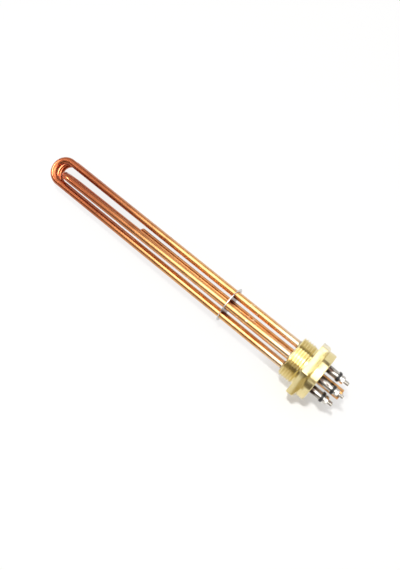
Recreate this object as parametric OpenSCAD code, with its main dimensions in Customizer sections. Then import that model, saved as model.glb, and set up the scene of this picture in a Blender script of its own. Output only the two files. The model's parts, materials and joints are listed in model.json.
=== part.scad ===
// Screw plug immersion heater: three hairpin elements and a sensor pocket in a brass plug.
// The axis lies along X. The elements reach toward -X into the tank, the terminals toward +X.
// The origin is the middle of the sealing face, and one flat of the hexagon faces down.

/* [Screw plug] */
// Outside diameter of the pipe thread
thread_d = 47.8; // [44:0.1:56]
// Length of the threaded shank, from the sealing face to its end
shank_len = 18.5; // [14:0.5:30]
// Lead-in chamfer at the end of the shank
lead_chamfer = 1.4; // [0.5:0.1:2.5]
// Width of the relief groove beside the sealing face
relief_w = 2.4; // [1:0.1:4]
// Depth of the relief groove below the thread's outside diameter
relief_depth = 1.6; // [0.5:0.1:2]
// Width of the hexagon across its flats
hex_af = 60; // [58:0.5:75]
// Thickness of the hexagon
hex_t = 10; // [6:0.5:20]
// Angle of the chamfer on the hexagon's corners
hex_chamfer_angle = 30; // [15:1:40]
// How far that chamfer cuts in from the flats
hex_chamfer_in = 0.7; // [0.2:0.1:1]
// Diameter of the round collar on the terminal side
collar_d = 57.6; // [48:0.2:58]
// Length of the collar
collar_len = 8.6; // [4:0.2:20]
// Chamfer on the collar's outer edge
collar_chamfer = 0.8; // [0.2:0.1:2]

/* [Hairpin elements] */
// Diameter of the circle on which the six legs stand
ring_d = 31; // [28:0.5:33]
// Turn of the ring of legs away from straight up, toward -Y
ring_clock = 24; // [-30:1:30]
// Outside diameter of the sheath
sheath_d = 8; // [6.5:0.1:8.5]
// Wall of the sheath
sheath_wall = 0.6; // [0.4:0.05:1]
// Reach of the upper and lower hairpins from the sealing face
immersion_len = 364; // [250:1:600]
// Reach of the cross hairpin from the sealing face
cross_immersion_len = 350; // [240:1:590]
// Length of the sheath ends that stand out of the collar, upper and lower hairpins
stub_len = 12.4; // [8:0.2:25]
// Length of the cross hairpin's sheath ends that stand out of the collar
cross_stub_len = 15.6; // [8:0.2:25]
// Lean of the cross hairpin away from the plug's axis, toward -Y
cross_lean = 0.45; // [-0.8:0.05:0.8]

/* [Inside the elements] */
// Outside diameter of the wound heating wire and of the cold pins
coil_d = 3.2; // [2.4:0.1:3.6]
// Bore of the wound heating wire
coil_bore = 1.8; // [1.2:0.1:2]
// Cold length of each leg, from the sealing face to the start of the winding
cold_len = 45; // [25:1:100]
// Length of the cold pin's tip inside the winding
pin_tip_len = 8; // [4:0.5:15]

/* [Terminals] */
// Outside diameter of the terminal thread
stud_d = 4; // [3.5:0.1:4.5]
// Length of the stud beyond its nut
stud_tip_len = 6; // [3:0.2:12]
// Diameter of the insulating bush's flange
bush_d = 10.4; // [9.6:0.1:12]
// Thickness of the insulating bush's flange
bush_flange_t = 3; // [1.5:0.1:5]
// Length of the insulating bush inside the sheath
bush_spigot_len = 6; // [3:0.5:12]
// Diameter of the flat washer
washer_d = 9; // [8.4:0.1:9.5]
// Thickness of the flat washer
washer_t = 0.8; // [0.5:0.1:1.5]
// Diameter of the spring washer
lock_d = 7.4; // [6.6:0.1:8]
// Thickness of the spring washer
lock_t = 1; // [0.6:0.1:1.5]
// Width of the gap in the spring washer
lock_slit = 0.7; // [0.4:0.1:1.2]
// Width of the nut across its flats
nut_af = 7; // [6.6:0.1:8]
// Thickness of the nut
nut_t = 3.2; // [2:0.1:5]

/* [Sensor pocket] */
// Outside diameter of the sensor pocket
pocket_d = 12.7; // [10:0.1:16]
// Wall of the sensor pocket
pocket_wall = 0.9; // [0.6:0.1:1.5]
// Reach of the pocket's closed end from the sealing face
pocket_reach = 234; // [150:1:330]
// Rounding of the pocket's closed end
pocket_round = 2.4; // [1.8:0.1:3]
// Length of the pocket that stands out of the collar
pocket_stub_len = 27; // [10:0.5:40]

/* [Spacer disc] */
// Diameter of the spacer disc
spacer_d = 43; // [42:0.2:44]
// Thickness of the spacer disc
spacer_t = 1; // [0.6:0.1:2]
// Distance of the spacer disc from the sealing face
spacer_reach = 104; // [50:1:180]
// Rounding of the spacer disc's rim
spacer_edge = 0.2; // [0.05:0.05:0.25]

/* [Fits] */
// Gap between a tube and its hole in the plug, on the radius
solder_gap = 0.1; // [0.05:0.05:0.2]
// Leg length of the solder fillets on the tank side of the plug
solder_leg = 1.5; // [0.8:0.1:2]
// Gap between a leg or the pocket and its hole in the spacer disc, on the radius
spacer_gap = 0.1; // [0.05:0.05:0.3]
// Gap between pieces packed or slid into each other, on the radius
slip_gap = 0.05; // [0.02:0.01:0.1]
// Gap between the stud and its washers, on the radius
washer_gap = 0.15; // [0.1:0.05:0.3]

/* [Hidden] */
$fn = 64;
cut_over = 1;
solder_root = 0.5;
solder_edge = 0.15;
hairpins = ["upper", "lower", "cross"];
legs = [0 : 5];
leg_pitch = 60;

plug_end = hex_t + collar_len;
ring_r = ring_d / 2;
sheath_bore = sheath_d - 2 * sheath_wall;
fill_d = sheath_bore - 2 * slip_gap;
fill_bore = coil_d + 2 * slip_gap;
nut_bore = stud_d + 2 * slip_gap;

// Legs 1 and 4 belong to the cross hairpin, 2 and 6 to the upper one, 3 and 5 to the lower one
function is_cross(k) = k % 3 == 0;
function leg_end(k) = plug_end + (is_cross(k) ? cross_stub_len : stub_len);
function hairpin_end(h) = plug_end + (h == "cross" ? cross_stub_len : stub_len);
function hairpin_reach(h) = h == "cross" ? cross_immersion_len : immersion_len;
function leg_spread(h) = h == "cross" ? ring_d : ring_d * sin(leg_pitch);

// Height of each piece on a terminal, measured from the end of its sheath
washer_at = bush_flange_t;
lock_at = washer_at + washer_t;
nut_at = lock_at + lock_t;
stud_top = nut_at + nut_t + stud_tip_len;

module ring(outer_d, inner_d) {
    difference() {
        circle(d = outer_d);
        circle(d = inner_d);
    }
}

// A straight tube or rod along X from one place to another
module along_x(from, to, outer_d, inner_d = 0) {
    translate([from, 0, 0]) rotate([0, 90, 0]) linear_extrude(to - from)
        if (inner_d > 0) ring(outer_d, inner_d);
        else circle(d = outer_d);
}

// A profile of (radius, height) points turned about the X axis
module turned(points) {
    rotate([0, 90, 0]) rotate_extrude() polygon(points);
}

// The frame of the ring of legs: Z points at leg 1, and -Y at the side between legs 2 and 3
module ring_frame() {
    rotate([ring_clock, 0, 0]) children();
}

// The middle line of one leg, which is the X axis there
module at_leg(k) {
    ring_frame() rotate([0, 0, is_cross(k) ? cross_lean : 0])
        rotate([k * leg_pitch, 0, 0]) translate([0, 0, ring_r]) children();
}

// The place of a hairpin in the ring: its legs stand at +Y and -Y, in the plane Z = 0
module at_hairpin(h) {
    ring_frame()
        if (h == "cross") rotate([0, 0, cross_lean]) rotate([90, 0, 0]) children();
        else translate([0, 0, (h == "upper" ? 1 : -1) * ring_r * cos(leg_pitch)]) children();
}

// A tube that follows a hairpin's middle line, with both ends at leg_top
module hairpin_tube(h, leg_top, outer_d, inner_d) {
    bend_r = leg_spread(h) / 2;
    bend_start = bend_r + sheath_d / 2 - hairpin_reach(h);
    at_hairpin(h) {
        for (side = [-1, 1])
            translate([0, side * bend_r, 0]) along_x(bend_start, leg_top, outer_d, inner_d);
        translate([bend_start, 0, 0]) rotate([0, 0, 90])
            rotate_extrude(angle = 180) translate([bend_r, 0]) ring(outer_d, inner_d);
    }
}

module screw_plug() {
    thread_r = thread_d / 2;
    relief_r = thread_r - relief_depth;
    collar_r = collar_d / 2;
    corner_r = hex_af / 2 / cos(30);
    face_r = hex_af / 2 - hex_chamfer_in;
    chamfer_h = (corner_r - face_r) * tan(hex_chamfer_angle);
    color("goldenrod") difference() {
        union() {
            turned([
                [0, -shank_len],
                [thread_r - lead_chamfer, -shank_len],
                [thread_r, lead_chamfer - shank_len],
                [thread_r, -relief_w - relief_depth],
                [relief_r, -relief_w],
                [relief_r, hex_t / 2],
                [collar_r, hex_t / 2],
                [collar_r, plug_end - collar_chamfer],
                [collar_r - collar_chamfer, plug_end],
                [0, plug_end]
            ]);
            intersection() {
                rotate([30, 0, 0]) rotate([0, 90, 0]) cylinder(r = corner_r, h = hex_t, $fn = 6);
                turned([
                    [0, 0],
                    [corner_r + cut_over, 0],
                    [corner_r + cut_over, hex_t - chamfer_h],
                    [corner_r, hex_t - chamfer_h],
                    [face_r, hex_t],
                    [0, hex_t]
                ]);
            }
        }
        for (k = legs)
            at_leg(k) along_x(-shank_len - cut_over, plug_end + cut_over, sheath_d + 2 * solder_gap);
        along_x(-shank_len - cut_over, plug_end + cut_over, pocket_d + 2 * solder_gap);
    }
}

// A hollow fillet round a tube of the given diameter, rooted in the tank face of the plug
module fillet_ring(tube_d) {
    inner_r = tube_d / 2 + slip_gap;
    translate([-shank_len, 0, 0]) rotate([0, -90, 0]) rotate_extrude() difference() {
        translate([inner_r, -solder_root]) square([solder_leg, solder_leg + solder_root]);
        translate([inner_r + solder_leg, solder_leg]) circle(r = solder_leg - solder_edge);
    }
}

module solder_fillets() {
    color("lightgray") difference() {
        union() {
            for (k = legs) at_leg(k) fillet_ring(sheath_d);
            fillet_ring(pocket_d);
        }
        along_x(-shank_len, 0, thread_d);
    }
}

// A rod along X with a rounded edge at its lower end
module rounded_rod(from, to, rod_r, edge_r) {
    rotate([0, 90, 0]) rotate_extrude() {
        translate([0, from]) square([rod_r - edge_r, to - from]);
        translate([0, from + edge_r]) square([rod_r, to - from - edge_r]);
        translate([rod_r - edge_r, from + edge_r]) circle(r = edge_r);
    }
}

module sensor_pocket() {
    outer_r = pocket_d / 2;
    pocket_end = plug_end + pocket_stub_len;
    color("peru") difference() {
        rounded_rod(-pocket_reach, pocket_end, outer_r, pocket_round);
        rounded_rod(pocket_wall - pocket_reach, pocket_end + cut_over, outer_r - pocket_wall, pocket_round - pocket_wall);
    }
}

module spacer_disc() {
    rim_r = spacer_d / 2;
    color("silver") difference() {
        translate([-spacer_reach, 0, 0]) turned([
            [0, 0],
            [rim_r - spacer_edge, 0],
            [rim_r, spacer_edge],
            [rim_r, spacer_t - spacer_edge],
            [rim_r - spacer_edge, spacer_t],
            [0, spacer_t]
        ]);
        for (k = legs)
            at_leg(k) along_x(-spacer_reach - cut_over, spacer_t + cut_over - spacer_reach, sheath_d + 2 * spacer_gap);
        along_x(-spacer_reach - cut_over, spacer_t + cut_over - spacer_reach, pocket_d + 2 * spacer_gap);
    }
}

module sheath(h) {
    color("chocolate") hairpin_tube(h, hairpin_end(h), sheath_d, sheath_bore);
}

module insulation(h) {
    color("whitesmoke") hairpin_tube(h, hairpin_end(h) - bush_spigot_len, fill_d, fill_bore);
}

module heating_wire(h) {
    color("dimgray") hairpin_tube(h, -cold_len, coil_d, coil_bore);
}

// The cold pin inside the leg and the threaded terminal outside it, turned from one rod
module terminal_stud(k) {
    pin_r = coil_d / 2;
    tip_r = coil_bore / 2 - slip_gap;
    thread_r = stud_d / 2;
    chamfer = thread_r / 4;
    base = leg_end(k);
    shoulder = base - bush_spigot_len;
    color("lightsteelblue") at_leg(k) turned([
        [0, -cold_len - pin_tip_len],
        [tip_r, -cold_len - pin_tip_len],
        [tip_r, -cold_len],
        [pin_r, -cold_len],
        [pin_r, shoulder],
        [thread_r, shoulder],
        [thread_r, base + stud_top - chamfer],
        [thread_r - chamfer, base + stud_top],
        [0, base + stud_top]
    ]);
}

module insulating_bush(k) {
    bore_r = stud_d / 2 + slip_gap;
    spigot_r = fill_d / 2;
    flange_r = bush_d / 2;
    edge = bush_flange_t / 8;
    color("dimgray") at_leg(k) translate([leg_end(k), 0, 0]) turned([
        [bore_r, -bush_spigot_len],
        [spigot_r, -bush_spigot_len],
        [spigot_r, 0],
        [flange_r, 0],
        [flange_r, bush_flange_t - edge],
        [flange_r - edge, bush_flange_t],
        [bore_r, bush_flange_t]
    ]);
}

module flat_washer(k) {
    color("silver") at_leg(k) translate([leg_end(k) + washer_at, 0, 0])
        along_x(0, washer_t, washer_d, stud_d + 2 * washer_gap);
}

module spring_washer(k) {
    color("gainsboro") at_leg(k) translate([leg_end(k) + lock_at, 0, 0]) difference() {
        along_x(0, lock_t, lock_d, stud_d + 2 * washer_gap);
        translate([-cut_over, -lock_slit / 2, 0]) cube([lock_t + 2 * cut_over, lock_slit, lock_d]);
    }
}

module terminal_nut(k) {
    corner_r = nut_af / 2 / cos(30);
    face_r = nut_af / 2;
    chamfer_h = (corner_r - face_r) * tan(30);
    color("silver") at_leg(k) translate([leg_end(k) + nut_at, 0, 0]) difference() {
        intersection() {
            rotate([0, 90, 0]) cylinder(r = corner_r, h = nut_t, $fn = 6);
            turned([
                [0, 0],
                [face_r, 0],
                [corner_r, chamfer_h],
                [corner_r, nut_t - chamfer_h],
                [face_r, nut_t],
                [0, nut_t]
            ]);
        }
        along_x(-cut_over, nut_t + cut_over, nut_bore);
    }
}

screw_plug();
solder_fillets();
sensor_pocket();
spacer_disc();
for (h = hairpins) {
    sheath(h);
    insulation(h);
    heating_wire(h);
}
for (k = legs) {
    terminal_stud(k);
    insulating_bush(k);
    flat_washer(k);
    spring_washer(k);
    terminal_nut(k);
}
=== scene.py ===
import json
import math
import bpy
from mathutils import Matrix, Vector


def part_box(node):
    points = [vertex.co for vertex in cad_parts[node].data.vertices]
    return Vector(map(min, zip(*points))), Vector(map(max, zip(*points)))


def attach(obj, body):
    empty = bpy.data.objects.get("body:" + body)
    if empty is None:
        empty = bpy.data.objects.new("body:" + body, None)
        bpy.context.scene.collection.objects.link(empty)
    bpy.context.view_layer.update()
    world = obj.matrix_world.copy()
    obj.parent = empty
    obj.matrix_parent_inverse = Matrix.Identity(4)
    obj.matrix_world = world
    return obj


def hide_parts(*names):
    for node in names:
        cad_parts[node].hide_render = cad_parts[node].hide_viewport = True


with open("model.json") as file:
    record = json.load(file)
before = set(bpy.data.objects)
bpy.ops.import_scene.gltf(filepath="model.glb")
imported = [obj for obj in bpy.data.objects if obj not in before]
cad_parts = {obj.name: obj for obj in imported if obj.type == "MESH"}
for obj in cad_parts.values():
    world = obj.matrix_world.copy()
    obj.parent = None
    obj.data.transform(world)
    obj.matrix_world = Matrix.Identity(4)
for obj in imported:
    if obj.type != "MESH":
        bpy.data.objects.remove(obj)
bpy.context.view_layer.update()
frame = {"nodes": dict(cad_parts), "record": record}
mm = 0.001  # every size below is in millimetres
weldReach = 0.005  # points closer than this are one
mounts = {mount["name"]: mount for mount in frame["record"]["mounts"]}
legNumbers = range(1, 7)
crossLegs = (1, 4)  # the legs of the hairpin that stands across the other two
hairpinLegs = {"upper": (2, 6), "lower": (3, 5), "cross": crossLegs}
straightLeg = 2  # runs along X, so the boxes of its terminal give true sizes
print("frame loaded:", len(frame["nodes"]), "CAD nodes")


# selecting, placing and finishing

def pick(*objects):
    bpy.ops.object.select_all(action="DESELECT")
    for item in objects:
        item.select_set(True)
    bpy.context.view_layer.objects.active = objects[0]


def startEdit(piece):
    pick(piece)
    bpy.ops.object.mode_set(mode="EDIT")
    bpy.ops.mesh.select_all(action="SELECT")


def selectVerts(piece, test):
    bpy.ops.mesh.select_mode(type="VERT")
    bpy.ops.mesh.select_all(action="DESELECT")
    bpy.ops.object.mode_set(mode="OBJECT")
    for vertex in piece.data.vertices:
        vertex.select = test(vertex.co)
    bpy.ops.object.mode_set(mode="EDIT")


# merges the doubles, drops the slivers, turns the faces outwards and leaves edit mode
def closeMesh():
    bpy.ops.mesh.select_all(action="SELECT")
    bpy.ops.mesh.remove_doubles(threshold=weldReach * mm)
    bpy.ops.mesh.dissolve_degenerate(threshold=weldReach * mm)
    bpy.ops.mesh.normals_make_consistent(inside=False)
    bpy.ops.object.mode_set(mode="OBJECT")


def applyPlace(piece, place=None):
    if place:
        piece.matrix_world = place
    pick(piece)
    bpy.ops.object.transform_apply(location=True, rotation=True, scale=True)


def applyModifier(piece, kind, **settings):
    pick(piece)
    modifier = piece.modifiers.new(kind.lower(), kind)
    for name, value in settings.items():
        setattr(modifier, name, value)
    bpy.ops.object.modifier_apply(modifier=modifier.name)


def cutWith(piece, tool, operation="DIFFERENCE"):
    applyModifier(piece, "BOOLEAN", operation=operation, solver="MANIFOLD", object=tool)
    bpy.data.objects.remove(tool, do_unlink=True)


def softenEdges(piece, width, segments=2, angle=25):
    applyModifier(piece, "BEVEL", width=width * mm, segments=segments,
                  limit_method="ANGLE", angle_limit=math.radians(angle))


def finishPiece(piece, node, material, sharpAngle=35):
    piece.name = node + "_detailed"
    startEdit(piece)
    closeMesh()
    bpy.ops.object.shade_smooth_by_angle(angle=math.radians(sharpAngle))
    piece.data.materials.clear()
    piece.data.materials.append(material)
    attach(piece, "root")
    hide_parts(node)


# one master is copied to every terminal, each copy with its own mesh
def copyTo(master, place):
    piece = master.copy()
    piece.data = master.data.copy()
    bpy.context.collection.objects.link(piece)
    applyPlace(piece, place)
    return piece


# a leg's own frame: X runs along it from the sealing face, Z points away from the plug's axis
def legFrame(number):
    mount = mounts["terminal_%d" % number]
    along = Vector(mount["axis"]).normalized()
    point = Vector(mount["pos_m"])
    start = point - along * (point.x / along.x)
    outward = (start - along * start.dot(along)).normalized()
    turn = Matrix((along, outward.cross(along), outward)).transposed()
    return Matrix.Translation(start) @ turn.to_4x4()


# half the height of a node's box, the radius of what is turned on a straight axis
def radiusOf(node):
    low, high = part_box(node)
    return (high.z - low.z) / 2 / mm


# from the flat of a hexagon to its corner
def cornerOf(flat):
    return flat / math.cos(math.radians(30))


# shapes that several pieces start from

# turns a piece on the X axis from steps of (x, radius); a chain that comes back to its start is a ring
def turnPiece(steps, sides):
    isRing = steps[0] == steps[-1]
    bpy.ops.object.select_all(action="DESELECT")
    bpy.ops.mesh.primitive_circle_add(
        vertices=sides, radius=steps[0][1] * mm, fill_type="NOTHING" if isRing else "NGON",
        location=(steps[0][0] * mm, 0, 0), rotation=(0, math.pi / 2, 0))
    piece = bpy.context.object
    applyPlace(piece)
    startEdit(piece)
    for (x, radius), (nextX, nextRadius) in zip(steps, steps[1:]):
        bpy.ops.mesh.extrude_region_move(TRANSFORM_OT_translate={"value": ((nextX - x) * mm, 0, 0)})
        growth = nextRadius / radius
        bpy.ops.transform.resize(value=(1, growth, growth), center_override=(nextX * mm, 0, 0))
    closeMesh()
    return piece


# points of a quarter round from one angle to another, for a chain of turned steps
def roundSteps(centreX, centreRadius, radius, fromAngle, toAngle, count=6):
    angles = [math.radians(fromAngle + (toAngle - fromAngle) * i / count) for i in range(count + 1)]
    return [(centreX + radius * math.cos(a), centreRadius + radius * math.sin(a)) for a in angles]


# a rod along a leg's own X axis, to cut a round hole with
def drill(place, fromX, toX, radius, sides=64):
    bpy.ops.object.select_all(action="DESELECT")
    bpy.ops.mesh.primitive_cylinder_add(
        vertices=sides, radius=radius * mm, depth=(toX - fromX) * mm,
        location=((fromX + toX) / 2 * mm, 0, 0), rotation=(0, math.pi / 2, 0))
    rod = bpy.context.object
    applyPlace(rod)
    applyPlace(rod, place)
    return rod


# a six-sided bar on the X axis, with its long edges softened
def hexBar(flat, thickness, edge):
    bpy.ops.object.select_all(action="DESELECT")
    bpy.ops.mesh.primitive_cylinder_add(
        vertices=6, radius=cornerOf(flat) * mm, depth=thickness * mm,
        location=(thickness / 2 * mm, 0, 0), rotation=(0, math.pi / 2, 0))
    bar = bpy.context.object
    applyPlace(bar)
    softenEdges(bar, edge)
    return bar


cutterRise = 1.1  # a thread's cutter is this much taller than its groove is deep


# a cutter for a V thread: one flat-bottomed groove section, swept round the X axis
def threadCutter(thread, outerRadius, fromX, toX, sides):
    spread = math.tan(math.radians(thread["flankAngle"]))
    height = thread["depth"] * cutterRise
    mouth = thread["rootFlat"] + 2 * height * spread
    middle = outerRadius - thread["depth"] + height / 2
    start = (fromX * mm, 0, middle * mm)
    bpy.ops.object.select_all(action="DESELECT")
    bpy.ops.mesh.primitive_plane_add(size=1, rotation=(math.pi / 2, 0, 0), location=start)
    cutter = bpy.context.object
    cutter.scale = (mouth * mm, height * mm, 1)
    applyPlace(cutter)
    startEdit(cutter)
    selectVerts(cutter, lambda place: place.z < middle * mm)
    bpy.ops.transform.resize(value=(thread["rootFlat"] / mouth, 1, 1), center_override=start)
    bpy.ops.mesh.select_all(action="SELECT")
    bpy.ops.mesh.delete(type="ONLY_FACE")
    bpy.ops.object.mode_set(mode="OBJECT")
    applyModifier(cutter, "SCREW", axis="X", angle=2 * math.pi, screw_offset=thread["pitch"] * mm,
                  iterations=round((toX - fromX) / thread["pitch"]), steps=sides, render_steps=sides)
    startEdit(cutter)
    bpy.ops.mesh.select_mode(type="EDGE")
    bpy.ops.mesh.select_all(action="DESELECT")
    bpy.ops.mesh.select_non_manifold()
    bpy.ops.mesh.fill_holes(sides=8)
    closeMesh()
    return cutter


# colours and nodes

def linear(hexCode, alpha=1.0):
    channels = [int(hexCode[i:i + 2], 16) / 255 for i in (1, 3, 5)]
    return [c / 12.92 if c <= 0.04045 else ((c + 0.055) / 1.055) ** 2.4 for c in channels] + [alpha]


# adds one node and gives back its outputs; an input takes a number, a hex colour or another node's output
def addNode(tree, kind, inputs=None, **settings):
    node = tree.nodes.new("ShaderNode" + kind)
    for name, value in settings.items():
        setattr(node, name, value)
    for name, value in (inputs or {}).items():
        if isinstance(value, bpy.types.NodeSocket):
            tree.links.new(value, node.inputs[name])
        else:
            node.inputs[name].default_value = linear(value) if isinstance(value, str) else value
    return node.outputs


def newMaterial(name):
    material = bpy.data.materials.new(name)
    material.use_nodes = True
    material.node_tree.nodes.clear()
    return material, material.node_tree


def perMm(size):
    return 1 / (size * mm)


noiseSpan = {"From Min": 0.3, "From Max": 0.7}  # a noise texture seldom leaves this range

# turned brass: bright and pale yellow, with fine tool rings that draw out the highlights
brassLook = {
    "tone": "#E8DBA8", "shade": "#DECB8F", "mottle": 9.0, "roughness": (0.12, 0.26),
    "toolRing": 0.25, "ringHeight": 0.012, "ringStrength": 0.25,
}


def makeBrass(look):
    material, tree = newMaterial("turnedBrass")
    place = addNode(tree, "TexCoord")["Object"]
    axes = addNode(tree, "SeparateXYZ", {"Vector": place})
    across = addNode(tree, "CombineXYZ", {"Y": axes["Y"], "Z": axes["Z"]})[0]
    radius = addNode(tree, "VectorMath", {0: across}, operation="LENGTH")["Value"]
    # the sum of both gives rings on sides and end faces alike
    travel = addNode(tree, "Math", {0: axes["X"], 1: radius}, operation="ADD")[0]
    rings = addNode(tree, "TexNoise", {"W": travel, "Scale": perMm(look["toolRing"]), "Detail": 2.0},
                    noise_dimensions="1D")["Fac"]
    cloud = addNode(tree, "TexNoise", {"Vector": place, "Scale": perMm(look["mottle"]), "Detail": 4.0})["Fac"]
    tone = addNode(tree, "MixRGB", {"Fac": cloud, "Color1": look["tone"], "Color2": look["shade"]})[0]
    low, high = look["roughness"]
    roughness = addNode(tree, "MapRange", {"Value": cloud, **noiseSpan, "To Min": low, "To Max": high})[0]
    bump = addNode(tree, "Bump", {"Height": rings, "Strength": look["ringStrength"],
                                  "Distance": look["ringHeight"] * mm})[0]
    shader = addNode(tree, "BsdfPrincipled", {"Base Color": tone, "Metallic": 1.0,
                                              "Roughness": roughness, "Normal": bump})[0]
    addNode(tree, "OutputMaterial", {"Surface": shader})
    return material


# drawn copper tube: red-brown at the bends, golden toward the plug, partly tarnish and partly painted shade,
# faint lines along the draw, a few pale smudges and a brown painted shade beside the disc; on the sheaths a
# painted highlight, pale cream before the plug, and beyond it a film of tin over their stained ends, darker
# by the collar with stain and painted shade
copperLook = {
    "bendTone": "#B26340", "plugTone": "#E0AA6E", "bendEnd": -330, "plugEnd": -120,
    "stain": "#8A4A2E", "stainSize": 14, "stainRange": (0.5, 0.75), "stainShare": 0.45,
    # real draw lines would be too fine to show, so these are coarser
    "drawLine": 0.8, "drawLength": 80, "lineHeight": 0.01, "lineStrength": 0.2,
    "smudge": "#E4C9A8", "smudgeMiddle": -78, "smudgeHalf": 14, "smudgeSize": 5, "smudgeRange": (0.58, 0.66),
    "spot": "#3E2A22", "spotPlace": (-147, 1, 6), "spotRadius": 1.1,
    "fade": 0.6,  # smudges and the spot are full inside this share of their reach
    # painted shade: brown beside the disc on the tube sides that face the bundle's middle
    "residue": "#874631", "residueLength": 10, "residueOutside": 16.5, "residueInside": 14.5,
    # pale is a painted highlight on the sheaths toward the plug; tin is their real coat beyond it
    "pale": "#DFC09C", "paleStart": -56, "paleFull": -30, "tin": "#C2BDB5", "tinStart": 10, "tinFull": 14,
    "tinStain": "#43352D", "tinStainSize": (9, 2, 2), "tinStainRange": (0.46, 0.66),
    # the stubs darken toward the collar: partly flux stain, partly painted shade in the corner
    "rootStain": 7, "rootShare": 0.25,
    "roughness": (0.15, 0.28), "smudgeRoughness": 0.5,
}


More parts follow.
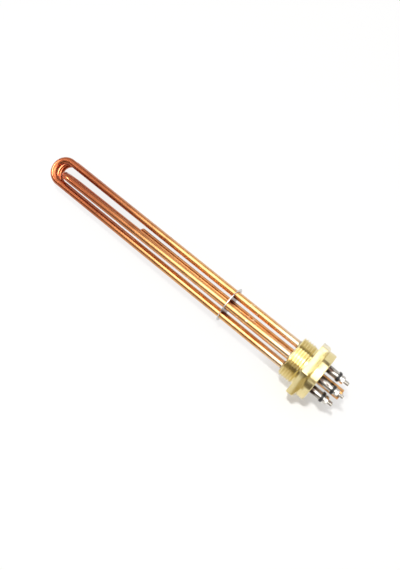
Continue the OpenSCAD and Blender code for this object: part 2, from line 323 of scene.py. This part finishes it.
def makeCopper(look, name, isSheath):
    material, tree = newMaterial(name)
    place = addNode(tree, "TexCoord")["Object"]
    along = addNode(tree, "SeparateXYZ", {"Vector": place})["X"]
    # darker and redder toward the bends: partly tarnish, partly painted shade for the duller light the bend
    # end reflects
    tarnishAndShade = addNode(tree, "MapRange", {"Value": along, "From Min": look["bendEnd"] * mm,
                                      "From Max": look["plugEnd"] * mm}, interpolation_type="SMOOTHSTEP")[0]
    tone = addNode(tree, "MixRGB", {"Fac": tarnishAndShade, "Color1": look["bendTone"], "Color2": look["plugTone"]})[0]
    # stains all over
    cloud = addNode(tree, "TexNoise", {"Vector": place, "Scale": perMm(look["stainSize"]),
                                       "Detail": 5.0})["Fac"]
    low, high = look["stainRange"]
    stained = addNode(tree, "MapRange", {"Value": cloud, "From Min": low, "From Max": high,
                                         "To Max": look["stainShare"]})[0]
    tone = addNode(tree, "MixRGB", {"Fac": stained, "Color1": tone, "Color2": look["stain"]})[0]
    # lines along the draw
    stretch = (perMm(look["drawLength"]), perMm(look["drawLine"]), perMm(look["drawLine"]))
    drawn = addNode(tree, "Mapping", {"Vector": place, "Scale": stretch})[0]
    lines = addNode(tree, "TexNoise", {"Vector": drawn, "Scale": 1.0, "Detail": 1.0})["Fac"]
    # pale smudges on the plug's side of the disc
    offset = addNode(tree, "Math", {0: along, 1: look["smudgeMiddle"] * mm}, operation="SUBTRACT")[0]
    offset = addNode(tree, "Math", {0: offset}, operation="ABSOLUTE")[0]
    near = addNode(tree, "MapRange", {"Value": offset, "From Min": look["smudgeHalf"] * mm,
                                      "From Max": look["smudgeHalf"] * look["fade"] * mm})[0]
    blot = addNode(tree, "TexNoise", {"Vector": place, "Scale": perMm(look["smudgeSize"]),
                                      "Detail": 2.0})["Fac"]
    low, high = look["smudgeRange"]
    blot = addNode(tree, "MapRange", {"Value": blot, "From Min": low, "From Max": high})[0]
    smudged = addNode(tree, "Math", {0: near, 1: blot}, operation="MULTIPLY")[0]
    tone = addNode(tree, "MixRGB", {"Fac": smudged, "Color1": tone, "Color2": look["smudge"]})[0]
    # one dark spot
    reach = addNode(tree, "VectorMath", {0: place, 1: [size * mm for size in look["spotPlace"]]},
                    operation="DISTANCE")["Value"]
    spotted = addNode(tree, "MapRange", {"Value": reach, "From Min": look["spotRadius"] * mm,
                                         "From Max": look["spotRadius"] * look["fade"] * mm})[0]
    tone = addNode(tree, "MixRGB", {"Fac": spotted, "Color1": tone, "Color2": look["spot"]})[0]
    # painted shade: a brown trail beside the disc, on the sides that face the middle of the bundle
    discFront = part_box("spacer_disc")[1].x
    paintedDiscShade = addNode(tree, "MapRange", {"Value": along, "From Min": discFront + look["residueLength"] * mm,
                                       "From Max": discFront})[0]
    beyond = addNode(tree, "Math", {0: along, 1: discFront - mm}, operation="GREATER_THAN")[0]
    paintedDiscShade = addNode(tree, "Math", {0: paintedDiscShade, 1: beyond}, operation="MULTIPLY")[0]
    across = addNode(tree, "VectorMath", {0: place, 1: (0, 1, 1)}, operation="MULTIPLY")["Vector"]
    radius = addNode(tree, "VectorMath", {0: across}, operation="LENGTH")["Value"]
    inside = addNode(tree, "MapRange", {"Value": radius, "From Min": look["residueOutside"] * mm,
                                        "From Max": look["residueInside"] * mm})[0]
    paintedDiscShade = addNode(tree, "Math", {0: paintedDiscShade, 1: inside}, operation="MULTIPLY")[0]
    tone = addNode(tree, "MixRGB", {"Fac": paintedDiscShade, "Color1": tone, "Color2": look["residue"]})[0]
    if isSheath:
        # painted highlight: the sheaths turn pale cream toward the plug
        paintedHighlight = addNode(tree, "MapRange", {"Value": along, "From Min": look["paleStart"] * mm,
                                           "From Max": look["paleFull"] * mm})[0]
        tone = addNode(tree, "MixRGB", {"Fac": paintedHighlight, "Color1": tone, "Color2": look["pale"]})[0]
        stretch = [perMm(size) for size in look["tinStainSize"]]
        streak = addNode(tree, "Mapping", {"Vector": place, "Scale": stretch})[0]
        stainAndShade = addNode(tree, "TexNoise", {"Vector": streak, "Scale": 1.0, "Detail": 3.0})["Fac"]
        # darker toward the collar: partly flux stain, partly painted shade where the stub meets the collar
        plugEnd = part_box("screw_plug")[1].x
        root = addNode(tree, "MapRange", {"Value": along, "From Min": plugEnd + look["rootStain"] * mm,
                                          "From Max": plugEnd, "To Max": look["rootShare"]})[0]
        stainAndShade = addNode(tree, "Math", {0: stainAndShade, 1: root}, operation="ADD")[0]
        low, high = look["tinStainRange"]
        stainAndShade = addNode(tree, "MapRange", {"Value": stainAndShade, "From Min": low, "From Max": high})[0]
        tin = addNode(tree, "MixRGB", {"Fac": stainAndShade, "Color1": look["tin"], "Color2": look["tinStain"]})[0]
        coat = addNode(tree, "MapRange", {"Value": along, "From Min": look["tinStart"] * mm,
                                          "From Max": look["tinFull"] * mm})[0]
        tone = addNode(tree, "MixRGB", {"Fac": coat, "Color1": tone, "Color2": tin})[0]
    low, high = look["roughness"]
    roughness = addNode(tree, "MapRange", {"Value": lines, **noiseSpan, "To Min": low, "To Max": high})[0]
    roughness = addNode(tree, "MapRange", {"Value": smudged, "To Min": roughness,
                                           "To Max": look["smudgeRoughness"]})[0]
    bump = addNode(tree, "Bump", {"Height": lines, "Strength": look["lineStrength"],
                                  "Distance": look["lineHeight"] * mm})[0]
    shader = addNode(tree, "BsdfPrincipled", {"Base Color": tone, "Metallic": 1.0,
                                              "Roughness": roughness, "Normal": bump})[0]
    addNode(tree, "OutputMaterial", {"Surface": shader})
    return material


grainStrength = 0.3  # the share of its bump that a plain material's grain shows


# a plain silvery metal whose colour drifts with a cloud and whose gloss and bump follow a stretched grain
def makeSilverMetal(name, look):
    material, tree = newMaterial(name)
    place = addNode(tree, "TexCoord")["Object"]
    cloud = addNode(tree, "TexNoise", {"Vector": place, "Scale": perMm(look["cloud"]), "Detail": 4.0})["Fac"]
    tone = addNode(tree, "MixRGB", {"Fac": cloud, "Color1": look["tone"], "Color2": look["shade"]})[0]
    # painted shade: brown inside the ring of tubes, on the disc's face between them
    if "brown" in look:
        outside, inside = look["brownReach"]
        across = addNode(tree, "VectorMath", {0: place, 1: (0, 1, 1)}, operation="MULTIPLY")["Vector"]
        radius = addNode(tree, "VectorMath", {0: across}, operation="LENGTH")["Value"]
        paintedShadeShare = addNode(tree, "MapRange", {"Value": radius, "From Min": outside * mm,
                                             "From Max": inside * mm})[0]
        tone = addNode(tree, "MixRGB", {"Fac": paintedShadeShare, "Color1": tone, "Color2": look["brown"]})[0]
    stretch = [perMm(size) for size in look["grain"]]
    stretched = addNode(tree, "Mapping", {"Vector": place, "Scale": stretch})[0]
    lines = addNode(tree, "TexNoise", {"Vector": stretched, "Scale": 1.0, "Detail": 3.0})["Fac"]
    low, high = look["roughness"]
    gloss = addNode(tree, "MapRange", {"Value": lines, **noiseSpan, "To Min": low, "To Max": high})[0]
    bump = addNode(tree, "Bump", {"Height": lines, "Strength": grainStrength,
                                  "Distance": look["bump"] * mm})[0]
    shader = addNode(tree, "BsdfPrincipled", {"Base Color": tone, "Metallic": 1.0,
                                              "Roughness": gloss, "Normal": bump})[0]
    addNode(tree, "OutputMaterial", {"Surface": shader})
    return material


# a dull material with a grain: moulded plastic or pressed powder
def makeDull(name, look):
    material, tree = newMaterial(name)
    place = addNode(tree, "TexCoord")["Object"]
    grain = addNode(tree, "TexNoise", {"Vector": place, "Scale": perMm(look["grain"]), "Detail": 4.0})["Fac"]
    tone = addNode(tree, "MixRGB", {"Fac": grain, "Color1": look["tone"], "Color2": look["shade"]})[0]
    low, high = look["roughness"]
    gloss = addNode(tree, "MapRange", {"Value": grain, **noiseSpan, "To Min": low, "To Max": high})[0]
    bump = addNode(tree, "Bump", {"Height": grain, "Strength": grainStrength,
                                  "Distance": look["bump"] * mm})[0]
    shader = addNode(tree, "BsdfPrincipled", {"Base Color": tone, "Roughness": gloss, "Normal": bump})[0]
    addNode(tree, "OutputMaterial", {"Surface": shader})
    return material


# stamped stainless sheet: cool silver with the straight grain of the rolling mill, with a brown painted shade
# inside the ring of tubes
stainlessLook = {
    "tone": "#D3D3D1", "shade": "#C2C2C0", "cloud": 12, "grain": (0.4, 0.4, 15), "roughness": (0.2, 0.32),
    "bump": 0.01, "brown": "#7E5C4F", "brownReach": (20.5, 17),
}
# nickel plate over steel: bright, faintly warm silver, a little uneven on small fasteners
nickelLook = {
    "tone": "#D2CFC9", "shade": "#BFBBB4", "cloud": 3, "grain": (0.8, 0.8, 0.8), "roughness": (0.14, 0.26),
    "bump": 0.01,
}
# soft solder: dull silver with the ripple of metal that ran and set
solderLook = {
    "tone": "#B9AE98", "shade": "#A3967E", "cloud": 4, "grain": (1.2, 1.2, 1.2), "roughness": (0.3, 0.45),
    "bump": 0.15,
}
# wound resistance wire: dark grey, matt from heat
wireLook = {
    "tone": "#77736E", "shade": "#5F5B57", "cloud": 6, "grain": (0.4, 6, 6), "roughness": (0.4, 0.55),
    "bump": 0.05,
}
# moulded phenolic plastic: near black, with the soft gloss of the mould
phenolicLook = {"tone": "#1B1A1A", "shade": "#262423", "grain": 0.6, "roughness": (0.32, 0.45), "bump": 0.01}
# pressed magnesium oxide powder: chalky off-white
magnesiaLook = {"tone": "#E9E5DC", "shade": "#D8D2C6", "grain": 0.4, "roughness": (0.85, 0.95), "bump": 0.05}

brass = makeBrass(brassLook)
sheathCopper = makeCopper(copperLook, "drawnCopperTinnedEnds", True)
pocketCopper = makeCopper(copperLook, "drawnCopper", False)
stainless = makeSilverMetal("stampedStainless", stainlessLook)
nickelPlate = makeSilverMetal("nickelPlatedSteel", nickelLook)
softSolder = makeSilverMetal("softSolder", solderLook)
resistanceWire = makeSilverMetal("resistanceWire", wireLook)
phenolic = makeDull("mouldedPhenolic", phenolicLook)
magnesia = makeDull("pressedMagnesia", magnesiaLook)
print("materials ready")


# the brass plug: shank with its pipe thread, relief, hexagon, collar and seven drilled holes
plugSetup = {
    "sides": 144, "leadChamfer": 1.4, "reliefWidth": 2.4, "reliefDepth": 1.6,
    "hexThickness": 10, "hexChamferIn": 0.7, "hexChamferAngle": 30, "hexEdge": 0.35,
    "collarWidth": 57.6, "collarChamfer": 0.8, "turnedEdge": 0.15, "drillGap": 0.1, "toolOver": 2,
}
# the turns are as far apart as they look, a little coarser than the 2.309 mm of a G 1 1/2 thread
pipeThread = {"pitch": 3.0, "depth": 1.5, "rootFlat": 0.35, "flankAngle": 30}
tubeSetup = {"sheathWidth": 8, "sheathWall": 0.6, "sides": 40, "bendSteps": 40}


def pocketRadius():
    return round(radiusOf("sensor_pocket"), 2)


# the place and radius of the six legs and the pocket
def tubePlaces():
    legs = [(legFrame(number), tubeSetup["sheathWidth"] / 2) for number in legNumbers]
    return legs + [(Matrix(), pocketRadius())]


def makeHexagon(setup, flat):
    thickness = setup["hexThickness"]
    slope = math.tan(math.radians(setup["hexChamferAngle"]))
    faceRadius = flat - setup["hexChamferIn"]
    outside = cornerOf(flat) + setup["toolOver"]
    chamferStart = thickness - (outside - faceRadius) * slope
    hexagon = hexBar(flat, thickness, setup["hexEdge"])
    cone = turnPiece([(-setup["toolOver"], outside), (chamferStart, outside), (thickness, faceRadius)],
                     setup["sides"])
    cutWith(hexagon, cone, "INTERSECT")
    return hexagon


def makeScrewPlug(setup, thread):
    low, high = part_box("screw_plug")
    shankEnd, plugEnd = low.x / mm, high.x / mm
    threadRadius = mounts["tank_thread"]["dims"]["r_mm"]
    reliefRadius = threadRadius - setup["reliefDepth"]
    collarRadius, collarChamfer = setup["collarWidth"] / 2, setup["collarChamfer"]
    body = turnPiece([
        (shankEnd, threadRadius - setup["leadChamfer"]),
        (shankEnd + setup["leadChamfer"], threadRadius),
        (-setup["reliefWidth"] - setup["reliefDepth"], threadRadius),
        (-setup["reliefWidth"], reliefRadius),
        (setup["hexThickness"] / 2, reliefRadius),
        (setup["hexThickness"] / 2, collarRadius),
        (plugEnd - collarChamfer, collarRadius),
        (plugEnd, collarRadius - collarChamfer),
    ], setup["sides"])
    softenEdges(body, setup["turnedEdge"])
    cutWith(body, makeHexagon(setup, radiusOf("screw_plug")), "UNION")
    drillFrom, drillTo = shankEnd - setup["toolOver"], plugEnd + setup["toolOver"]
    for place, radius in tubePlaces():
        cutWith(body, drill(place, drillFrom, drillTo, radius + setup["drillGap"]))
    threadFrom, threadTo = shankEnd - thread["pitch"], -setup["reliefWidth"]
    cutWith(body, threadCutter(thread, threadRadius, threadFrom, threadTo, setup["sides"]))
    finishPiece(body, "screw_plug", brass)


makeScrewPlug(plugSetup, pipeThread)
print("screw plug made")


# the three hairpins: a ring of edges is drawn along one leg, spun round the bend and drawn back
def makeHairpin(name, setup):
    node = name + "_sheath"
    first, second = [legFrame(number) for number in hairpinLegs[name]]
    apart = second.translation - first.translation
    along = first.to_3x3().col[0]
    across = (apart - along * apart.dot(along)).normalized()
    turn = Matrix((along, across, along.cross(across))).transposed().to_4x4()
    place = Matrix.Translation((first.translation + second.translation) / 2) @ turn
    low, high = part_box(node)
    radius, bendRadius = setup["sheathWidth"] / 2 * mm, apart.length / 2
    bendStart = low.x + bendRadius + radius
    legTop = high.x
    bpy.ops.object.select_all(action="DESELECT")
    bpy.ops.mesh.primitive_circle_add(vertices=setup["sides"], radius=radius,
                                      location=(legTop, -bendRadius, 0), rotation=(0, math.pi / 2, 0))
    sheath = bpy.context.object
    applyPlace(sheath)
    startEdit(sheath)
    bpy.ops.mesh.extrude_region_move(TRANSFORM_OT_translate={"value": (bendStart - legTop, 0, 0)})
    bpy.ops.mesh.spin(steps=setup["bendSteps"], angle=math.pi, center=(bendStart, 0, 0), axis=(0, 0, 1))
    bpy.ops.mesh.extrude_region_move(TRANSFORM_OT_translate={"value": (legTop - bendStart, 0, 0)})
    closeMesh()
    applyModifier(sheath, "SOLIDIFY", thickness=setup["sheathWall"] * mm, offset=-1)
    applyPlace(sheath, place)
    finishPiece(sheath, node, sheathCopper)


for hairpin in hairpinLegs:
    makeHairpin(hairpin, tubeSetup)
print("hairpins made")


# the sensor pocket: drawn out from its closed end, in over the rim and back down the bore
pocketSetup = {"sides": 56, "endRound": 2.4, "rimRound": 0.2}


def makeSensorPocket(setup):
    low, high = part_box("sensor_pocket")
    closedEnd, openEnd, radius = low.x / mm, high.x / mm, pocketRadius()
    bore = mounts["sensor_bore"]["dims"]["r_mm"]
    wall, endRound, rim = radius - bore, setup["endRound"], setup["rimRound"]
    centreX, centreRadius = closedEnd + endRound, radius - endRound
    outside = roundSteps(centreX, centreRadius, endRound, 180, 90)
    inside = roundSteps(centreX, centreRadius, endRound - wall, 90, 180)
    mouth = [(openEnd - rim, radius), (openEnd, radius - rim), (openEnd, bore + rim), (openEnd - rim, bore)]
    pocket = turnPiece(outside + mouth + inside, setup["sides"])
    finishPiece(pocket, "sensor_pocket", pocketCopper)


makeSensorPocket(pocketSetup)


# the spacer disc: sheet metal, rolled over a little on the side that the die pushed
spacerSetup = {"sides": 128, "dieRoll": 0.3, "burrEdge": 0.08, "holeGap": 0.1, "toolOver": 2}


def makeSpacerDisc(setup):
    low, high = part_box("spacer_disc")
    back, front, radius = low.x / mm, high.x / mm, radiusOf("spacer_disc")
    roll = setup["dieRoll"]
    steps = [(back, radius - setup["burrEdge"]), (back + setup["burrEdge"], radius)]
    steps += roundSteps(front - roll, radius - roll, roll, 90, 0, 4)
    disc = turnPiece(steps, setup["sides"])
    drillFrom, drillTo = back - setup["toolOver"], front + setup["toolOver"]
    for place, tubeRadius in tubePlaces():
        cutWith(disc, drill(place, drillFrom, drillTo, tubeRadius + setup["holeGap"]))
    softenEdges(disc, setup["burrEdge"], segments=1, angle=60)
    finishPiece(disc, "spacer_disc", stainless)


makeSpacerDisc(spacerSetup)
print("pocket and spacer disc made")


# solder round each tube on the tank side of the plug: a hollow fillet that ran unevenly
solderSetup = {"sides": 48, "leg": 1.5, "edge": 0.15, "gap": 0.05, "ripple": 0.35, "rippleSize": 2.2}


def makeSolderFillets(setup):
    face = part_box("screw_plug")[0].x / mm
    ripple = bpy.data.textures.new("solderRipple", "CLOUDS")
    ripple.noise_scale = setup["rippleSize"] * mm
    rings = []
    for place, radius in tubePlaces():
        inner, leg, edge = radius + setup["gap"], setup["leg"], setup["edge"]
        steps = [(face, inner), (face - leg, inner)]
        steps += roundSteps(face - leg, inner + leg, leg - edge, 270, 360, 8)
        ring = turnPiece(steps + [(face, inner + leg), (face, inner)], setup["sides"])
        applyPlace(ring, place)
        applyModifier(ring, "DISPLACE", texture=ripple, texture_coords="GLOBAL",
                      strength=setup["ripple"] * mm, mid_level=0.5)
        rings.append(ring)
    pick(*rings)
    bpy.ops.object.join()
    finishPiece(bpy.context.object, "solder_fillets", softSolder, sharpAngle=60)


makeSolderFillets(solderSetup)
print("solder made")


# the terminals, from the sheath's end outwards: bush, flat washer, spring washer, nut and stud tip
terminalSetup = {
    "sides": 40, "studRadius": 2, "tipChamfer": 0.5, "pinRadius": 1.6, "pinTipRadius": 0.85, "pinTip": 8,
    "spigot": 6, "spigotRadius": 3.35, "flangeEdge": 0.4, "bushBore": 2.05,
    "washerBore": 2.15, "washerEdge": 0.12, "slit": 0.7, "slitSlant": 20,
    "slitLength": 4, "slitHeight": 1.2,  # in thicknesses and radii of the washer, to cut one side through
    "nutAcross": 7, "nutBore": 2.05, "nutEdge": 0.12, "nutChamferAngle": 30, "toolOver": 1,
}
studThread = {"pitch": 0.7, "depth": 0.43, "rootFlat": 0.12, "flankAngle": 30}


# how far along its leg a node of a terminal starts and ends
def reachOf(node, number):
    low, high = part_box("%s_%d" % (node, number))
    return low.x / mm, high.x / mm


# the thickness and radius of a terminal's piece, from the one on the straight leg
def sizeOf(node):
    start, end = reachOf(node, straightLeg)
    return end - start, radiusOf("%s_%d" % (node, straightLeg))


def placeOnLegs(master, node, material, numbers):
    for number in numbers:
        start = reachOf(node, number)[0]
        piece = copyTo(master, legFrame(number) @ Matrix.Translation((start * mm, 0, 0)))
        finishPiece(piece, "%s_%d" % (node, number), material)
    bpy.data.objects.remove(master, do_unlink=True)


def makeBushes(setup):
    length, flange = sizeOf("insulating_bush")
    bore, spigot, edge = setup["bushBore"], setup["spigot"], setup["flangeEdge"]
    steps = [(0, bore), (0, setup["spigotRadius"]), (spigot, setup["spigotRadius"])]
    steps += [(spigot, flange - edge / 2), (spigot + edge / 2, flange)]
    steps += roundSteps(length - edge, flange - edge, edge, 90, 0, 4)
    bush = turnPiece(steps + [(length, bore), (0, bore)], setup["sides"])
    placeOnLegs(bush, "insulating_bush", phenolic, legNumbers)


def turnWasher(node, setup):
    thickness, radius = sizeOf(node)
    bore, edge = setup["washerBore"], setup["washerEdge"]
    return turnPiece([
        (0, bore), (0, radius - edge), (edge, radius), (thickness - edge, radius),
        (thickness, radius - edge), (thickness, bore), (0, bore),
    ], setup["sides"])


def makeWashers(setup):
    washer = turnWasher("flat_washer", setup)
    placeOnLegs(washer, "flat_washer", nickelPlate, legNumbers)
    spring = turnWasher("spring_washer", setup)
    thickness, radius = sizeOf("spring_washer")
    bpy.ops.object.select_all(action="DESELECT")
    bpy.ops.mesh.primitive_cube_add(size=1, location=(thickness / 2 * mm, 0, radius / 2 * mm),
                                    rotation=(0, 0, math.radians(setup["slitSlant"])))
    slit = bpy.context.object
    length, height = setup["slitLength"] * thickness, setup["slitHeight"] * radius
    slit.scale = (length * mm, setup["slit"] * mm, height * mm)
    applyPlace(slit)
    cutWith(spring, slit)
    placeOnLegs(spring, "spring_washer", nickelPlate, legNumbers)


def makeNuts(setup):
    thickness, flat, over = sizeOf("terminal_nut")[0], setup["nutAcross"] / 2, setup["toolOver"]
    outside = cornerOf(flat) + over
    rise = (outside - flat) * math.tan(math.radians(setup["nutChamferAngle"]))
    nut = hexBar(flat, thickness, setup["nutEdge"])
    doubleCone = [(0, flat), (rise, outside), (thickness - rise, outside), (thickness, flat)]
    cutWith(nut, turnPiece(doubleCone, setup["sides"]), "INTERSECT")
    cutWith(nut, drill(Matrix(), -over, thickness + over, setup["nutBore"], setup["sides"]))
    placeOnLegs(nut, "terminal_nut", nickelPlate, legNumbers)


# a stud is the cold pin inside the leg and the threaded end outside it, turned from one rod
def makeStuds(setup, thread, numbers):
    start, end = reachOf("terminal_stud", numbers[0])
    shoulder, flangeTop = [x - start for x in reachOf("insulating_bush", numbers[0])]
    length, chamfer, radius = end - start, setup["tipChamfer"], setup["studRadius"]
    stud = turnPiece([
        (0, setup["pinTipRadius"]),
        (setup["pinTip"], setup["pinTipRadius"]),
        (setup["pinTip"], setup["pinRadius"]),
        (shoulder, setup["pinRadius"]),
        (shoulder, radius),
        (length - chamfer, radius),
        (length, radius - chamfer),
    ], setup["sides"])
    cutWith(stud, threadCutter(thread, radius, flangeTop, length + thread["pitch"], setup["sides"]))
    applyModifier(stud, "TRIANGULATE")  # so that faces by the tip share no diagonals
    placeOnLegs(stud, "terminal_stud", nickelPlate, numbers)


makeBushes(terminalSetup)
makeWashers(terminalSetup)
makeNuts(terminalSetup)
makeStuds(terminalSetup, studThread, [number for number in legNumbers if number not in crossLegs])
makeStuds(terminalSetup, studThread, crossLegs)
print("terminals made")


# the filling stays as the CAD gives it, inside the sheaths
for hairpin in hairpinLegs:
    for part, material in (("insulation", magnesia), ("heating_wire", resistanceWire)):
        for slot in frame["nodes"]["%s_%s" % (hairpin, part)].material_slots:
            slot.material = material


# the camera looks down along the heater, whose axis falls to the right of the picture
cameraSetup = {
    "place": (3.3, -239.6, 642.3), "aim": (-142.1, -3.6, 0.0), "axisFall": 39.1,
    "focalPixels": 642.5, "pictureWidth": 400, "sensorWidth": 36, "clipStart": 10,
}


def placeCamera(setup):
    place, aim = Vector(setup["place"]) * mm, Vector(setup["aim"]) * mm
    forward = (aim - place).normalized()
    along = Vector((1, 0, 0)) - forward * forward.x
    along.normalize()
    down = forward.cross(along)
    fall = math.radians(setup["axisFall"])
    right = along * math.cos(fall) - down * math.sin(fall)
    up = -along * math.sin(fall) - down * math.cos(fall)
    bpy.ops.object.camera_add()
    camera = bpy.context.object
    camera.matrix_world = Matrix.Translation(place) @ Matrix((right, up, -forward)).transposed().to_4x4()
    camera.data.sensor_fit = "HORIZONTAL"
    camera.data.sensor_width = setup["sensorWidth"]
    camera.data.lens = setup["sensorWidth"] * setup["focalPixels"] / setup["pictureWidth"]
    camera.data.clip_start = setup["clipStart"] * mm
    bpy.context.scene.camera = camera


placeCamera(cameraSetup)


# true for what the eye sees of the floor and room: straight, in gloss or through glass
def seenByEye(tree):
    path = addNode(tree, "LightPath")
    seen = addNode(tree, "Math", {0: path["Is Camera Ray"], 1: path["Is Glossy Ray"]}, operation="MAXIMUM")[0]
    return addNode(tree, "Math", {0: seen, 1: path["Is Transmission Ray"]}, operation="MAXIMUM")[0]


# the floor: white paper that meets the hexagon's lower flat and the lowest hairpin; it glows white to the
# eye, least beside the plug, where its shadow falls, and fully far away
floorSetup = {
    "size": 12000, "tone": "#F9F8F6", "shadowPlace": (20, -40, 0), "shadowGlow": 0.2, "shadowReach": (15, 75),
    "glow": 0.82, "glowReach": (200, 1000),
}


def makeFloor(setup):
    # the cross hairpin is lowest where its bend starts
    plugLow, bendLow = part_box("screw_plug")[0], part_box("cross_sheath")[0]
    bendReach = mounts["terminal_1"]["pos_m"][2] + tubeSetup["sheathWidth"] / 2 * mm
    tilt = math.atan2(bendLow.z - plugLow.z, -bendLow.x - bendReach)
    bpy.ops.object.select_all(action="DESELECT")
    bpy.ops.mesh.primitive_plane_add(
        size=setup["size"] * mm, location=(0, 0, plugLow.z), rotation=(0, tilt, 0))
    floor = bpy.context.object
    floor.name = "floor"
    applyPlace(floor)
    material, tree = newMaterial("whitePaper")
    place = addNode(tree, "TexCoord")["Object"]
    flat = addNode(tree, "VectorMath", {0: place, 1: (1, 1, 0)}, operation="MULTIPLY")["Vector"]
    reach = addNode(tree, "VectorMath", {0: flat, 1: [size * mm for size in setup["shadowPlace"]]},
                    operation="DISTANCE")["Value"]
    start, end = [size * mm for size in setup["shadowReach"]]
    glow = addNode(tree, "MapRange", {"Value": reach, "From Min": start, "From Max": end,
                                      "To Min": setup["shadowGlow"], "To Max": setup["glow"]})[0]
    start, end = [size * mm for size in setup["glowReach"]]
    glow = addNode(tree, "MapRange", {"Value": reach, "From Min": start, "From Max": end, "To Min": glow})[0]
    share = addNode(tree, "Math", {0: seenByEye(tree), 1: glow}, operation="MULTIPLY")[0]
    paper = addNode(tree, "BsdfDiffuse", {"Color": setup["tone"]})[0]
    white = addNode(tree, "Emission", {"Color": "#FFFFFF", "Strength": 1.0})[0]
    surface = addNode(tree, "MixShader", {"Fac": share, 1: paper, 2: white})[0]
    addNode(tree, "OutputMaterial", {"Surface": surface})
    floor.data.materials.append(material)


makeFloor(floorSetup)


# light: a small key lamp throws the shadow, and three more lamps only show in the metal
lightSetup = {
    "keyLamp": {
        "place": (-270, -165, 1400), "aim": (-100, 0, 0), "size": (110, 110),
        "power": 13.0, "inMetal": False},
    "ceilingLamp": {
        "place": (350, 0, 1500), "aim": (350, 0, 0), "size": (2100, 2400),
        "power": 27.0, "inMetal": True},
    "stripLamp": {
        "place": (175, -165, 1400), "aim": (175, 0, 0), "size": (1850, 350),
        "power": 8.5, "inMetal": True},
    "bendLamp": {
        "place": (-1420, -625, 830), "aim": (-350, 0, 0), "size": (500, 500),
        "power": 15.0, "inMetal": True},
}
roomSetup = {"fill": 0.6, "tone": "#FFFBF7"}
# cards that only show in the metal: three draw its dark lines, two dim the facets of the hexagon
cardSetup = {
    "farCard": {"between": (-57, -40), "distance": 2500, "along": 0, "length": 9000, "tone": "#8A8177"},
    "nearCard": {"between": (38, 53), "distance": 2500, "along": 0, "length": 9000, "tone": "#AAA196"},
    "lowCard": {"between": (59, 89), "distance": 400, "along": 0, "length": 2400, "tone": "#776F66"},
    "hexTopCard": {"between": (-30, -4), "distance": 150, "along": 5, "length": 24, "tone": "#EDE4C4"},
    "hexLowCard": {"between": (80, 102), "distance": 120, "along": 5, "length": 24, "tone": "#BFAE7C"},
}


def makeLamp(name, setup):
    place, aim = Vector(setup["place"]) * mm, Vector(setup["aim"]) * mm
    bpy.ops.object.light_add(type="AREA", location=place)
    lamp = bpy.context.object
    lamp.name = name
    lamp.rotation_euler = (place - aim).to_track_quat("Z", "Y").to_euler()
    lamp.data.shape = "RECTANGLE"
    lamp.data.size, lamp.data.size_y = [size * mm for size in setup["size"]]
    lamp.data.energy = setup["power"]
    lamp.visible_glossy = setup["inMetal"]
    lamp.visible_diffuse = not setup["inMetal"]


# each card stands between two angles from straight up, toward -Y where they are positive
def makeCard(name, setup):
    middle = math.radians(sum(setup["between"]) / 2)
    halfAngle = math.radians(setup["between"][1]) - middle
    distance = setup["distance"] * mm
    bpy.ops.object.select_all(action="DESELECT")
    bpy.ops.mesh.primitive_plane_add(
        size=1, rotation=(middle, 0, 0),
        location=(setup["along"] * mm, -distance * math.sin(middle), distance * math.cos(middle)))
    card = bpy.context.object
    card.name = name
    card.scale = (setup["length"] * mm, 2 * distance * math.tan(halfAngle), 1)
    applyPlace(card)
    material, tree = newMaterial(name)
    glow = addNode(tree, "Emission", {"Color": setup["tone"], "Strength": 1.0})[0]
    addNode(tree, "OutputMaterial", {"Surface": glow})
    card.data.materials.append(material)
    card.visible_camera = False
    card.visible_diffuse = False
    card.visible_shadow = False


def makeRoom(setup):
    world = bpy.data.worlds.new("whiteRoom")
    bpy.context.scene.world = world
    world.use_nodes = True
    tree = world.node_tree
    tree.nodes.clear()
    fill = addNode(tree, "Background", {"Color": setup["tone"], "Strength": setup["fill"]})[0]
    white = addNode(tree, "Background", {"Color": "#FFFFFF", "Strength": 1.0})[0]
    surface = addNode(tree, "MixShader", {"Fac": seenByEye(tree), 1: fill, 2: white})[0]
    addNode(tree, "OutputWorld", {"Surface": surface})


for lampName, lamp in lightSetup.items():
    makeLamp(lampName, lamp)
for cardName, card in cardSetup.items():
    makeCard(cardName, card)
makeRoom(roomSetup)
bpy.context.scene.view_settings.view_transform = "Standard"
print("camera, floor and light set")
